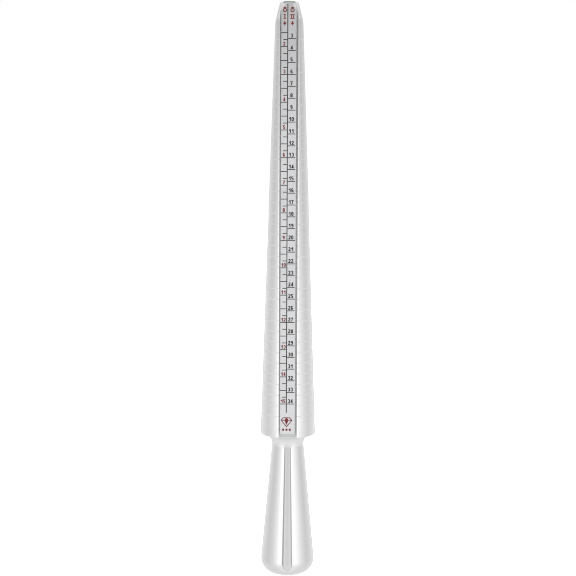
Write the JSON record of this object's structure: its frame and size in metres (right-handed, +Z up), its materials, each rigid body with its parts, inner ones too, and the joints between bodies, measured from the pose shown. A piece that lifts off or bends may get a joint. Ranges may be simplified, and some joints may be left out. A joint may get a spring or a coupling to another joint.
{
  "type": "ring mandrel",
  "caption": "Tapered aluminium ring-sizing mandrel with ring lines, a milled channel holding a printed size plate, and a polished flared handle.",
  "frame": {"origin": "centre of the flat base at the bottom of the handle, on the turned axis", "axes": "+Z up the turned axis from the handle to the nose; the scale plate faces -Y; +X to the right of someone reading the scale"},
  "size_m": [0.0248, 0.0245, 0.2595],
  "materials": {
    "turned_aluminium": "fine turned satin",
    "polished_aluminium": "polished",
    "stud_steel": "plain machined",
    "plate_aluminium": "satin anodised",
    "adhesive_film": "matte",
    "black_ink": "matte printed",
    "red_ink": "matte printed"
  },
  "bodies": {
    "root": {"mandrel": "turned_aluminium", "handle": "polished_aluminium", "joining_stud": "stud_steel", "scale_plate": "plate_aluminium", "plate_adhesive": "adhesive_film", "divider_line": "black_ink", "left_size_ticks": "black_ink", "right_size_ticks": "black_ink", "left_numerals": "red_ink", "right_numerals": "black_ink", "column_headings": "red_ink", "plate_emblem": "red_ink"}
  },
  "joints": []
}
